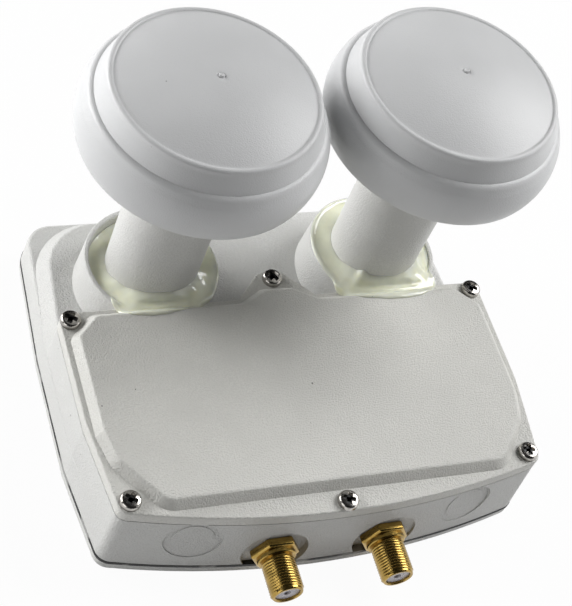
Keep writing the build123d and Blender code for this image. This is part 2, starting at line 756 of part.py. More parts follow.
def under_board(size, places):
    """Like flat packages on the shield's side of the microwave board."""
    return Compound(children=[block(size, x, y, board_z - size[2]) for x, y in places])


def board_link():
    """A pin header that joins the two boards through the partition."""
    length = link_pins * link_pin_step
    link = block((length, link_body_w, link_body_h), 0, link_y, board_top_z)
    for i in range(link_pins):
        x = (i - (link_pins - 1) / 2) * link_pin_step
        pin = (link_pin_w, link_pin_w, switch_z - board_top_z - link_body_h)
        link += block(pin, x, link_y, board_top_z + link_body_h)
    return link


def switch_board():
    """The switching board on its posts under the front cover."""
    size = (2 * switch_half_w, switch_top_y - switch_low_y)
    plan = Pos(0, (switch_low_y + switch_top_y) / 2) * Rectangle(*size)
    return slab(plan, switch_z, switch_top_z) - screw_rods(
        switch_screws, small_shank_d + 2 * screw_gap, switch_z, switch_top_z)


def storage_capacitors():
    """Round storage capacitors in a row on the switching board."""
    row = []
    for i in range(capacitor_count):
        y = parts_y + (i - (capacitor_count - 1) / 2) * capacitor_pitch
        row.append(rod(capacitor_d, switch_top_z, switch_top_z + capacitor_h, capacitor_x, y))
    return Compound(children=row)


front_head = (front_head_d, front_head_h, front_head_r)
small_head = (small_head_d, small_head_h, small_head_r)
shield_shank_l = board_top_z + thread_depth - shield_z
transistors = [(s * feed_x + o * transistor_pitch / 2, transistor_y) for s in (1, -1) for o in (1, -1)]
mixers = [(s * puck_pitch / 2, mixer_y) for s in (1, -1)]

nodes = {
    "housing": housing(),
    "front_cover": front_cover(),
    "front_gasket": front_gasket(),
    "front_cover_screws": pan_screws(front_screws, flange_z, front_head, front_shank_d, front_shank_l),
    "rear_cover": rear_cover(),
    "rear_gasket": rear_gasket(),
    "rear_cover_screws": rear_cover_screws(),
    "rf_board": rf_board(),
    "rf_shield": rf_shield(),
    "rf_shield_screws": pan_screws(shield_screws, shield_z, small_head, small_shank_d, shield_shank_l, up=-1),
    "tuning_screws": tuning_screws(),
    "polarisation_probes": polarisation_probes(),
    "low_noise_transistors": under_board(transistor_size, transistors),
    "mixer_chips": under_board(mixer_size, mixers),
    "dielectric_resonators": Compound(children=[
        rod(puck_d, board_z - puck_h, board_z, s * puck_pitch / 2, puck_y) for s in sides.values()]),
    "board_link": board_link(),
    "switch_board": switch_board(),
    "switch_board_screws": pan_screws(
        switch_screws, switch_top_z, small_head, small_shank_d, board_t + thread_depth),
    "switch_chip": block(chip_size, 0, chip_y, switch_top_z),
    "voltage_regulator": block(regulator_size, regulator_x, parts_y, switch_top_z),
    "storage_capacitors": storage_capacitors(),
}
for side, s in sides.items():
    nodes[f"feed_horn_{side}"] = feed_horn(s)
    nodes[f"feed_cap_{side}"] = feed_cap(s)
    nodes[f"cap_seal_{side}"] = cap_seal(s)
    nodes[f"sealant_{side}"] = sealant(s)
    nodes[f"connector_shell_{side}"] = connector_shell(s)
    nodes[f"connector_insulator_{side}"] = connector_insulator(s)
    nodes[f"connector_contact_{side}"] = connector_contact(s)

os.makedirs("parts", exist_ok=True)
for name, shape in nodes.items():
    export_step(shape, f"parts/{name}.step")
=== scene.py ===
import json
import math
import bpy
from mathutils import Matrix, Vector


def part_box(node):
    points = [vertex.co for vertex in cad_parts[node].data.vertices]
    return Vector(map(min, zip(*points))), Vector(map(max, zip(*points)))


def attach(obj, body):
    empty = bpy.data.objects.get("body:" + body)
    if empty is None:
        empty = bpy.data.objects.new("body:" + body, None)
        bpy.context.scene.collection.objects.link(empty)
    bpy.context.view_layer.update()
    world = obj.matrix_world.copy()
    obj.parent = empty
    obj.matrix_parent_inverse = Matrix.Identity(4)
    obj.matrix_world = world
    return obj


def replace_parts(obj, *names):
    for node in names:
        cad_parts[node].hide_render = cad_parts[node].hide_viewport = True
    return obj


bl_info = {
    "name": "Satellite converter looks",
    "version": (1, 0, 0),
    "blender": (4, 5, 0),
    "location": "3D View > Sidebar > Converter",
    "description": "Dresses the packed twin-feed satellite converter and sets up its stage",
    "category": "Object",
}

import bmesh
import bpy
from mathutils import Matrix, Vector, noise

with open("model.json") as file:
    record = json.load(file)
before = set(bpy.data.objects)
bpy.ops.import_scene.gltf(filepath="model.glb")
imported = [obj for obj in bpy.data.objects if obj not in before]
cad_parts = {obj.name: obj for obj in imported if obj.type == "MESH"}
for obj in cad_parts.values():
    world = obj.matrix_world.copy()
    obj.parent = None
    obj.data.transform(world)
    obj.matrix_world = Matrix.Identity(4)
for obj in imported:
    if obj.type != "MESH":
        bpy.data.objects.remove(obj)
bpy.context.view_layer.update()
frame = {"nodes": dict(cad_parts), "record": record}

MM = 0.001
SIDES = ("left", "right")
MERGE_DISTANCE = 1e-6
ROUND_ANGLE = math.radians(17.5)
WALL_AREA = 50 * MM * MM
WALL_KINK = math.radians(4)
FLANGE_HEIGHT = 3.6 * MM
NOISE = "ShaderNodeTexNoise"
SEAL_BLACK = (0.02, 0.02, 0.02)
record_mounts = {mount["name"]: mount for mount in frame["record"]["mounts"]}


def middle(low, high):
    """The point midway between two corners."""
    return (low + high) / 2


# Sizes shown to the user


class PaintSettings(bpy.types.PropertyGroup):
    """The powder coat on the castings."""

    colour: bpy.props.FloatVectorProperty(
        name="Coat", description="Colour of the powder coat", subtype="COLOR", size=3, min=0, max=1,
        default=(0.63, 0.63, 0.613))
    cover_colour: bpy.props.FloatVectorProperty(
        name="Cover coat", description="Colour of the front cover's coat", subtype="COLOR", size=3,
        min=0, max=1, default=(0.66, 0.655, 0.62))
    pebble: bpy.props.FloatProperty(
        name="Pebble size", description="Width of one pebble of the coat's texture", unit="LENGTH",
        default=0.45 * MM)
    depth: bpy.props.FloatProperty(
        name="Pebble depth", description="Height of the coat's texture", unit="LENGTH", default=0.17 * MM)
    specks: bpy.props.FloatProperty(
        name="Specks", description="Share of the speck cells that hold a dark speck", subtype="FACTOR",
        min=0, max=1, default=0.16)


class CapSettings(bpy.types.PropertyGroup):
    """The weather caps."""

    colour: bpy.props.FloatVectorProperty(
        name="Cap", description="Colour of the moulded cap", subtype="COLOR", size=3, min=0, max=1,
        default=(0.615, 0.62, 0.625))
    bead: bpy.props.FloatProperty(
        name="Rim bead", description="Radius of the rounded rim round the face", unit="LENGTH",
        default=0.95 * MM)
    pip_radius: bpy.props.FloatProperty(
        name="Gate pip radius", description="Radius of the moulding mark on the face", unit="LENGTH",
        default=0.85 * MM)
    pip_height: bpy.props.FloatProperty(
        name="Gate pip height", description="Height of the moulding mark", unit="LENGTH", default=0.4 * MM)


class SealantSettings(bpy.types.PropertyGroup):
    """The compound round the foot of each neck."""

    colour: bpy.props.FloatVectorProperty(
        name="Sealant", description="Colour of the compound", subtype="COLOR", size=3, min=0, max=1,
        default=(0.87, 0.88, 0.67))
    bead: bpy.props.FloatProperty(
        name="Bead", description="Thickness of its rounded edge", unit="LENGTH", default=0.5 * MM)


class ScrewSettings(bpy.types.PropertyGroup):
    """The cover's screws."""

    recess_share: bpy.props.FloatProperty(
        name="Recess", description="Width of the cross recess as a share of the head", subtype="FACTOR",
        min=0, max=1, default=0.66)
    wing_share: bpy.props.FloatProperty(
        name="Wing", description="Width of one wing as a share of the recess", subtype="FACTOR",
        min=0, max=1, default=0.38)
    seed: bpy.props.IntProperty(
        name="Turn seed", description="Picks how each head is turned", default=4)


class ConnectorSettings(bpy.types.PropertyGroup):
    """The coaxial connectors."""

    hexagon: bpy.props.FloatProperty(
        name="Hexagon thickness", description="Height of the hexagon", unit="LENGTH", default=2.6 * MM)
    collar: bpy.props.FloatProperty(
        name="Collar", description="Height of the round collar", unit="LENGTH", default=1.3 * MM)
    collar_radius: bpy.props.FloatProperty(
        name="Collar radius", description="Radius of the round collar", unit="LENGTH", default=5.4 * MM)
    pitch: bpy.props.FloatProperty(
        name="Thread pitch", description="Height of one turn of the thread", unit="LENGTH",
        default=25.4 / 32 * MM)
    thread_depth: bpy.props.FloatProperty(
        name="Thread depth", description="How deep the thread is cut", unit="LENGTH", default=0.44 * MM)
    colour: bpy.props.FloatVectorProperty(
        name="Plating", description="Colour of the plating", subtype="COLOR", size=3, min=0, max=1,
        default=(0.44, 0.295, 0.08))


class StageSettings(bpy.types.PropertyGroup):
    """Camera, lamps and floor."""

    camera_place: bpy.props.FloatVectorProperty(
        name="Camera", description="Where the camera stands", subtype="TRANSLATION", size=3,
        default=(-0.183234, -0.255824, 0.387562))
    camera_turn: bpy.props.FloatVectorProperty(
        name="Camera turn", description="How the camera is turned", subtype="EULER", size=3,
        default=(math.radians(38.4589), math.radians(-16.4118), math.radians(-16.9914)))
    lens: bpy.props.FloatProperty(name="Lens", description="Focal length in millimetres", default=98.0)
    shift: bpy.props.FloatVectorProperty(
        name="Shift", description="Shift of the picture's frame", size=2, default=(0.00625, -0.0694))
    powers: bpy.props.FloatVectorProperty(
        name="Softboxes", size=5, min=0, default=(3.0, 4.2, 5.3, 0.9, 1.15),
        description="Watts of the softboxes: left, left back, right, right front, front left")
    sky: bpy.props.FloatProperty(
        name="Room", description="Strength of the even light of the room", default=0.02)


# Mesh helpers


def linked_object(name, data):
    """A new object in the scene."""
    made = bpy.data.objects.new(name, data)
    bpy.context.scene.collection.objects.link(made)
    return made


def add_piece(name, mesh, slot, *materials):
    """Links a finished mesh as a piece of the converter, on the root body; the slot argument is not used."""
    piece = linked_object(name, mesh)
    mesh.materials.clear()
    for material in materials:
        mesh.materials.append(material)
    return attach(piece, "root")


def mesh_from(shape, name, sharp=None):
    """Turns a bmesh into a mesh with outward normals, smooth up to an angle."""
    bmesh.ops.remove_doubles(shape, verts=shape.verts, dist=MERGE_DISTANCE)
    bmesh.ops.recalc_face_normals(shape, faces=shape.faces)
    mesh = bpy.data.meshes.new(name)
    shape.to_mesh(mesh)
    shape.free()
    mesh.shade_smooth()
    if sharp is not None:
        mesh.set_sharp_from_angle(angle=sharp)
    return mesh


def applied(holder):
    """The mesh that an object's modifiers make, under the object's name; the object goes."""
    name = holder.name
    graph = bpy.context.evaluated_depsgraph_get()
    mesh = bpy.data.meshes.new_from_object(holder.evaluated_get(graph))
    mesh.name = name
    bpy.data.objects.remove(holder)
    return mesh


def settled(mesh, name, *modifiers):
    """The mesh that a list of (type, settings) modifiers makes of a mesh."""
    holder = linked_object(name, mesh)
    for kind, settings in modifiers:
        modifier = holder.modifiers.new(kind.title(), kind)
        for key, value in settings.items():
            setattr(modifier, key, value)
    return applied(holder)


def between_walls(edge):
    """Whether two large flat faces meet at an edge with a slight kink, which then stays crisp."""
    if len(edge.link_faces) != 2 or edge.calc_face_angle() < WALL_KINK:
        return False
    return min(face.calc_area() for face in edge.link_faces) > WALL_AREA


def smoothed_node(node, material, slot, sharp=ROUND_ANGLE, grow=0.0, rise=0.0):
    """Stands in for a CAD node with the same mesh, its triangles joined and its round faces smooth.

    With grow its sides stand out that much farther, and with rise its top is that much higher.
    Edges are marked here by the angle of their faces, as set_sharp_from_angle misses some of these.
    """
    shape = bmesh.new()
    shape.from_mesh(frame["nodes"][node].data)
    bmesh.ops.remove_doubles(shape, verts=shape.verts, dist=MERGE_DISTANCE)
    low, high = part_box(node)
    centre, size = middle(low, high), high - low
    for vertex in shape.verts:
        vertex.co.x += grow * (vertex.co.x - centre.x) / (size.x / 2)
        vertex.co.y += grow * (vertex.co.y - centre.y) / (size.y / 2)
        vertex.co.z += rise * (vertex.co.z - low.z) / size.z
    shape.edges.index_update()
    crisp = [edge.index for edge in shape.edges
             if edge.calc_face_angle(0) > sharp or between_walls(edge)]
    mesh = bpy.data.meshes.new(node + "_skin")
    shape.to_mesh(mesh)
    shape.free()
    mesh.shade_smooth()
    for index in crisp:
        mesh.edges[index].use_edge_sharp = True
    mesh = settled(mesh, node + "_skin", ("WEIGHTED_NORMAL", {"keep_sharp": True, "weight": 100}))
    piece = add_piece(node + "_skin", mesh, slot, material)
    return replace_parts(piece, node)


def node_islands(node):
    """The (low, high) boxes of the separate solids in a CAD node."""
    shape = bmesh.new()
    shape.from_mesh(frame["nodes"][node].data)
    bmesh.ops.remove_doubles(shape, verts=shape.verts, dist=MERGE_DISTANCE)
    waiting = set(shape.verts)
    boxes = []
    while waiting:
        stack = [waiting.pop()]
        found = []
        while stack:
            vertex = stack.pop()
            found.append(vertex.co.copy())
            for edge in vertex.link_edges:
                other = edge.other_vert(vertex)
                if other in waiting:
                    waiting.remove(other)
                    stack.append(other)
        low = Vector([min(co[k] for co in found) for k in range(3)])
        high = Vector([max(co[k] for co in found) for k in range(3)])
        boxes.append((low, high))
    shape.free()
    return sorted(boxes, key=lambda box: (round(box[0].x, 4), round(box[0].y, 4)))


def turned(profile, steps):
    """A bmesh of a closed section of (radius, height) points turned about Z."""
    shape = bmesh.new()
    rings = []
    for radius, height in profile:
        ring = []
        for k in range(steps):
            angle = 2 * math.pi * k / steps
            place = (radius * math.cos(angle), radius * math.sin(angle), height)
            ring.append(shape.verts.new(place))
        rings.append(ring)
    for ring, above in zip(rings, rings[1:] + rings[:1]):
        for k in range(steps):
            n = (k + 1) % steps
            shape.faces.new((ring[k], ring[n], above[n], above[k]))
    return shape


# Shader helpers


def node_group(name, inputs, outputs):
    """An empty shader group with named float or colour sockets, and its input and output nodes."""
    group = bpy.data.node_groups.new(name, "ShaderNodeTree")
    for label, kind, value in inputs:
        socket = group.interface.new_socket(label, in_out="INPUT", socket_type=kind)
        socket.default_value = value
    for label, kind in outputs:
        group.interface.new_socket(label, in_out="OUTPUT", socket_type=kind)
    return group, group.nodes.new("NodeGroupInput"), group.nodes.new("NodeGroupOutput")


def math_node(tree, operation, *values):
    """A Math node; each value is a number or a socket to link."""
    node = tree.nodes.new("ShaderNodeMath")
    node.operation = operation
    for k, value in enumerate(values):
        if isinstance(value, (int, float)):
            node.inputs[k].default_value = value
        else:
            tree.links.new(value, node.inputs[k])
    return node.outputs[0]


def texture_node(tree, kind, vector, scale, **settings):
    """A noise or Voronoi texture on a vector, at a scale that is a number or a socket."""
    node = tree.nodes.new(kind)
    for key, value in settings.items():
        if key in node.inputs:
            node.inputs[key].default_value = value
        else:
            setattr(node, key, value)
    tree.links.new(vector, node.inputs["Vector"])
    if isinstance(scale, (int, float)):
        node.inputs["Scale"].default_value = scale
    else:
        tree.links.new(scale, node.inputs["Scale"])
    return node


def ramp_node(tree, value, low, high):
    """A smooth step of a value from 0 at low to 1 at high."""
    node = tree.nodes.new("ShaderNodeMapRange")
    node.interpolation_type = "SMOOTHSTEP"
    node.inputs["From Min"].default_value = low
    node.inputs["From Max"].default_value = high
    tree.links.new(value, node.inputs["Value"])
    return node.outputs["Result"]


def pebble_group():
    """The pebbled surface of a powder coat: a height, and a broad mottle."""
    fine_ratio, fine_share, broad_ratio = 1.9, 0.4, 0.04
    group, source, out = node_group(
        "Pebbled coat", [("Vector", "NodeSocketVector", (0, 0, 0)), ("Size", "NodeSocketFloat", 0.001)],
        [("Height", "NodeSocketFloat"), ("Mottle", "NodeSocketFloat")])
    vector = source.outputs["Vector"]
    scale = math_node(group, "DIVIDE", 1.0, source.outputs["Size"])
    coarse = texture_node(group, NOISE, vector, scale, Detail=0.0)
    fine_scale = math_node(group, "MULTIPLY", scale, fine_ratio)
    fine = texture_node(group, NOISE, vector, fine_scale, Detail=0.0)
    broad_scale = math_node(group, "MULTIPLY", scale, broad_ratio)
    broad = texture_node(group, NOISE, vector, broad_scale, Detail=3.0)
    height = math_node(group, "MULTIPLY_ADD", fine.outputs[0], fine_share, coarse.outputs[0])
    group.links.new(height, out.inputs["Height"])
    group.links.new(broad.outputs[0], out.inputs["Mottle"])
    return group


def speck_group():
    """Sparse dark specks: a mask that is 1 inside a speck."""
    group, source, out = node_group(
        "Specks", [("Vector", "NodeSocketVector", (0, 0, 0)), ("Cell", "NodeSocketFloat", 0.006),
                   ("Share", "NodeSocketFloat", 0.2), ("Radius", "NodeSocketFloat", 0.05)],
        [("Mask", "NodeSocketFloat")])
    scale = math_node(group, "DIVIDE", 1.0, source.outputs["Cell"])
    cells = texture_node(group, "ShaderNodeTexVoronoi", source.outputs["Vector"], scale, feature="F1")
    split = group.nodes.new("ShaderNodeSeparateColor")
    group.links.new(cells.outputs["Color"], split.inputs["Color"])
    chosen = math_node(group, "LESS_THAN", split.outputs["Red"], source.outputs["Share"])
    size = math_node(group, "MULTIPLY", split.outputs["Green"], source.outputs["Radius"])
    inside = math_node(group, "LESS_THAN", cells.outputs["Distance"], size)
    group.links.new(math_node(group, "MULTIPLY", chosen, inside), out.inputs["Mask"])
    return group


def new_material(name, colour, roughness, metallic=0.0, **sockets):
    """A Principled material with plain values, its tree and its shader."""
    material = bpy.data.materials.new(name)
    material.use_nodes = True
    tree = material.node_tree
    shader = tree.nodes["Principled BSDF"]
    shader.inputs["Base Color"].default_value = (*colour, 1)
    shader.inputs["Roughness"].default_value = roughness
    shader.inputs["Metallic"].default_value = metallic
    for label, value in sockets.items():
        shader.inputs[label.replace("_", " ")].default_value = value
    return material, tree, shader


def object_vector(tree):
    """The Object coordinates."""
    return tree.nodes.new("ShaderNodeTexCoord").outputs["Object"]


shared_groups = {}


def placed_group(tree, kind, vector, **values):
    """A pebble or speck group in a material, on the given coordinates; both are built at the first call."""
    if not shared_groups:
        shared_groups.update(pebble=pebble_group(), speck=speck_group())
    node = tree.nodes.new("ShaderNodeGroup")
    node.node_tree = shared_groups[kind]
    tree.links.new(vector, node.inputs["Vector"])
    for label, value in values.items():
        node.inputs[label].default_value = value
    return node


def mixed_colour(tree, factor, first, second):
    """A colour that goes from first to second; each is a plain colour or a socket."""
    node = tree.nodes.new("ShaderNodeMix")
    node.data_type = "RGBA"
    tree.links.new(factor, node.inputs["Factor"])
    for socket, colour in ((node.inputs[6], first), (node.inputs[7], second)):
        if isinstance(colour, (tuple, list)):
            socket.default_value = (*colour, 1)
        else:
            tree.links.new(colour, socket)
    return node.outputs[2]


def bumped(tree, shader, height, distance):
    """Feeds a height into the shader's normal."""
    bump = tree.nodes.new("ShaderNodeBump")
    bump.inputs["Distance"].default_value = distance
    bump.inputs["Strength"].default_value = 1.0
    tree.links.new(height, bump.inputs["Height"])
    tree.links.new(bump.outputs["Normal"], shader.inputs["Normal"])


def shade(colour, factor):
    """A colour times a factor."""
    return tuple(channel * factor for channel in colour)


def coat_material(name, colour, settings, depth=1.0):
    """Pebbled powder coat with soft mottling, sparse dark specks and painted shade in the pebbles' hollows.
    """
    material, tree, shader = new_material(name, colour, 0.5)
    vector = object_vector(tree)
    pebble = placed_group(tree, "pebble", vector, Size=settings.pebble)
    speck = placed_group(tree, "speck", vector, Share=settings.specks, Cell=5 * MM, Radius=0.055)
    mottle = ramp_node(tree, pebble.outputs["Mottle"], 0.3, 0.7)
    base = mixed_colour(tree, mottle, shade(colour, 0.95), shade(colour, 1.03))
    # Painted shade: the coat is darkened to 0.93 of its colour in the hollows of its pebbles.
    low = ramp_node(tree, pebble.outputs["Height"], 0.5, 0.9)
    base = mixed_colour(tree, low, shade(colour, 0.93), base)
    base = mixed_colour(tree, speck.outputs["Mask"], base, (0.1, 0.095, 0.09))
    tree.links.new(base, shader.inputs["Base Color"])
    rough = math_node(tree, "MULTIPLY_ADD", pebble.outputs["Mottle"], 0.2, 0.38)
    tree.links.new(rough, shader.inputs["Roughness"])
    bumped(tree, shader, pebble.outputs["Height"], settings.depth * depth)
    return material


def plastic_material(name, colour, roughness, depth=0.03 * MM):
    """Moulded plastic: a faint grain, soft changes of tone and a few specks."""
    material, tree, shader = new_material(name, colour, roughness)
    vector = object_vector(tree)
    pebble = placed_group(tree, "pebble", vector, Size=0.35 * MM)
    broad = texture_node(tree, NOISE, vector, 45.0, Detail=2.0)
    tone = ramp_node(tree, broad.outputs[0], 0.3, 0.7)
    base = mixed_colour(tree, tone, shade(colour, 0.97), shade(colour, 1.02))
    speck = placed_group(tree, "speck", vector, Share=0.05, Cell=7 * MM, Radius=0.035)
    base = mixed_colour(tree, speck.outputs["Mask"], base, shade(colour, 0.45))
    tree.links.new(base, shader.inputs["Base Color"])
    rough = math_node(tree, "MULTIPLY_ADD", broad.outputs[0], 0.12, roughness - 0.06)
    tree.links.new(rough, shader.inputs["Roughness"])
    bumped(tree, shader, pebble.outputs["Height"], depth)
    return material


def metal_material(name, colour, roughness, tarnish=0.6, depth=0.01 * MM):
    """Plated metal: uneven gloss, a little tarnish and fine marks."""
    material, tree, shader = new_material(name, colour, roughness, metallic=1.0)
    vector = object_vector(tree)
    broad = texture_node(tree, NOISE, vector, 420.0, Detail=4.0)
    stain = ramp_node(tree, broad.outputs[0], 0.42, 0.68)
    base = mixed_colour(tree, stain, colour, shade(colour, tarnish))
    tree.links.new(base, shader.inputs["Base Color"])
    rough = math_node(tree, "MULTIPLY_ADD", broad.outputs[0], 0.22, roughness - 0.1)
    tree.links.new(rough, shader.inputs["Roughness"])
    pebble = placed_group(tree, "pebble", vector, Size=0.2 * MM)
    bumped(tree, shader, pebble.outputs["Height"], depth)
    return material


def sealant_material(settings):
    """Glossy cream compound that lets a little light in."""
    colour = tuple(settings.colour)
    material, tree, shader = new_material(
        "sealant_cream", colour, 0.16, Subsurface_Weight=0.5, Subsurface_Scale=3 * MM, Coat_Weight=0.4)
    shader.inputs["Subsurface Radius"].default_value = (1.0, 0.9, 0.6)
    vector = object_vector(tree)
    broad = texture_node(tree, NOISE, vector, 160.0, Detail=2.0)
    tone = ramp_node(tree, broad.outputs[0], 0.3, 0.7)
    base = mixed_colour(tree, tone, shade(colour, 0.9), shade(colour, 1.05))
    speck = placed_group(tree, "speck", vector, Share=0.25, Cell=3 * MM, Radius=0.05)
    base = mixed_colour(tree, speck.outputs["Mask"], base, shade(colour, 0.35))
    tree.links.new(base, shader.inputs["Base Color"])
    ripple = texture_node(tree, NOISE, vector, 300.0, Detail=1.0)
    bumped(tree, shader, ripple.outputs[0], 0.12 * MM)
    return material


def seam_material(name, coat):
    """Black seal in a seam, bridged here and there by the coat, which is darkened there as painted shade in
    the seam.
    """
    material, tree, shader = new_material(name, SEAL_BLACK, 0.7)
    vector = object_vector(tree)
    patches = texture_node(tree, NOISE, vector, 120.0, Detail=2.0)
    bridge = ramp_node(tree, patches.outputs[0], 0.5, 0.62)
    # Painted shade: where the coat bridges the seam it is darkened to 0.55 of its colour.
    base = mixed_colour(tree, bridge, SEAL_BLACK, shade(coat, 0.55))
    tree.links.new(base, shader.inputs["Base Color"])
    pebble = placed_group(tree, "pebble", vector, Size=0.4 * MM)
    bumped(tree, shader, pebble.outputs["Height"], 0.03 * MM)
    return material


# Geometry node trees


def material_tree(label, *inputs):
    """A geometry tree whose result is made real and given a material.

    Gives the tree, its inputs' identifiers, their sockets and the socket that takes the result.
    """
    tree = bpy.data.node_groups.new(label, "GeometryNodeTree")
    names = {}
    for name, kind in (("Geometry", "Geometry"), *inputs, ("Material", "Material")):
        socket = tree.interface.new_socket(name, in_out="INPUT", socket_type="NodeSocket" + kind)
        names[name] = socket.identifier
    tree.interface.new_socket("Geometry", in_out="OUTPUT", socket_type="NodeSocketGeometry")
    source = tree.nodes.new("NodeGroupInput")
    real = tree.nodes.new("GeometryNodeRealizeInstances")
    finish = tree.nodes.new("GeometryNodeSetMaterial")
    out = tree.nodes.new("NodeGroupOutput")
    tree.links.new(real.outputs["Geometry"], finish.inputs["Geometry"])
    tree.links.new(source.outputs["Material"], finish.inputs["Material"])
    tree.links.new(finish.outputs["Geometry"], out.inputs["Geometry"])
    return tree, names, source.outputs, real.inputs["Geometry"]


def scatter_tree():
    """Instances of a piece on points, each turned at random about Z."""
    tree, names, given, result = material_tree("Scatter on points", ("Piece", "Object"), ("Seed", "Int"))
    piece = tree.nodes.new("GeometryNodeObjectInfo")
    turn = tree.nodes.new("FunctionNodeRandomValue")
    turn.data_type = "FLOAT_VECTOR"
    turn.inputs["Min"].default_value = (0, 0, 0)
    turn.inputs["Max"].default_value = (0, 0, 2 * math.pi)
    place = tree.nodes.new("GeometryNodeInstanceOnPoints")
    link = tree.links.new
    link(given["Piece"], piece.inputs["Object"])
    link(given["Seed"], turn.inputs["Seed"])
    link(given["Geometry"], place.inputs["Points"])
    link(piece.outputs["Geometry"], place.inputs["Instance"])
    link(turn.outputs[0], place.inputs["Rotation"])
    link(place.outputs["Instances"], result)
    return tree, names


def thread_tree():
    """A thread's ridge: a diamond section along a helix, moved to its place."""
    tree, names, given, result = material_tree(
        "Thread ridge", ("Radius", "Float"), ("Length", "Float"), ("Turns", "Float"), ("Ridge", "Float"),
        ("Width", "Float"), ("Place", "Vector"), ("Rotation", "Vector"))
    helix = tree.nodes.new("GeometryNodeCurveSpiral")
    helix.inputs["Resolution"].default_value = 48
    upright = tree.nodes.new("GeometryNodeSetCurveNormal")
    upright.mode = "Z_UP"
    section = tree.nodes.new("GeometryNodeCurvePrimitiveQuadrilateral")
    section.mode = "KITE"
    sweep = tree.nodes.new("GeometryNodeCurveToMesh")
    sweep.inputs["Fill Caps"].default_value = True
    place = tree.nodes.new("GeometryNodeTransform")
    link = tree.links.new
    link(given["Radius"], helix.inputs["Start Radius"])
    link(given["Radius"], helix.inputs["End Radius"])
    link(given["Length"], helix.inputs["Height"])
    link(given["Turns"], helix.inputs["Rotations"])
    link(helix.outputs["Curve"], upright.inputs["Curve"])
    link(given["Width"], section.inputs["Width"])
    link(given["Ridge"], section.inputs["Bottom Height"])
    link(given["Ridge"], section.inputs["Top Height"])
    link(upright.outputs["Curve"], sweep.inputs["Curve"])
    link(section.outputs["Curve"], sweep.inputs["Profile Curve"])
    link(sweep.outputs["Mesh"], place.inputs["Geometry"])
    link(given["Place"], place.inputs["Translation"])
    link(given["Rotation"], place.inputs["Rotation"])
    link(place.outputs["Geometry"], result)
    return tree, names


def grown_mesh(name, tree, names, base, **values):
    """The plain mesh that a geometry tree makes on a base mesh."""
    holder = linked_object(name, base)
    modifier = holder.modifiers.new("Grow", "NODES")
    modifier.node_group = tree
    for label, value in values.items():
        modifier[names[label]] = value
    return applied(holder)


def point_mesh(name, points):
    """A mesh of loose points."""
    mesh = bpy.data.meshes.new(name)
    mesh.from_pydata([tuple(point) for point in points], [], [])
    return mesh


# Pieces


class CONVERTER_OT_castings(bpy.types.Operator):
    """Coats the body, its covers and the two necks"""

    bl_idname = "converter.castings"
    bl_label = "Coat the castings"

    def execute(self, context):
        paint = context.scene.converter_paint
        colour = tuple(paint.colour)
        body = coat_material("body_coat", colour, paint)
        cover = coat_material("cover_coat", tuple(paint.cover_colour), paint)
        neck = coat_material("neck_coat", colour, paint, depth=0.8)
        for node in ("housing", "rear_cover"):
            smoothed_node(node, body, "body_paint")
        smoothed_node("front_cover", cover, "body_paint", sharp=math.radians(9))
        for side in SIDES:
            smoothed_node("feed_horn_" + side, neck, "neck_paint")
        return {"FINISHED"}


class CONVERTER_OT_seals(bpy.types.Operator):
    """Colours the seals that show in the seams"""

    bl_idname = "converter.seals"
    bl_label = "Seal the seams"

    def execute(self, context):
        coat = tuple(context.scene.converter_paint.colour)
        seam = seam_material("seam_black", coat)
        rubber = plastic_material("seal_rubber", (0.025, 0.025, 0.025), 0.6)
        smoothed_node("front_gasket", seam, "seal_rubber", grow=0.04 * MM, rise=0.1 * MM)
        smoothed_node("rear_gasket", seam, "seal_rubber", grow=0.16 * MM, rise=0.6 * MM)
        for side in SIDES:
            frame["nodes"]["cap_seal_" + side].material_slots[0].material = rubber
        return {"FINISHED"}


def arc_points(first, through, last, count):
    """Points along the arc from first through a middle point to last."""
    (ax, ay), (bx, by), (cx, cy) = first, through, last
    double = 2 * (ax * (by - cy) + bx * (cy - ay) + cx * (ay - by))
    a, b, c = ax * ax + ay * ay, bx * bx + by * by, cx * cx + cy * cy
    x = (a * (by - cy) + b * (cy - ay) + c * (ay - by)) / double
    y = (a * (cx - bx) + b * (ax - cx) + c * (bx - ax)) / double
    radius = math.hypot(ax - x, ay - y)
    start, end = math.atan2(ay - y, ax - x), math.atan2(cy - y, cx - x)
    angles = [start + (end - start) * k / (count - 1) for k in range(count)]
    return [(x + radius * math.cos(angle), y + radius * math.sin(angle)) for angle in angles]


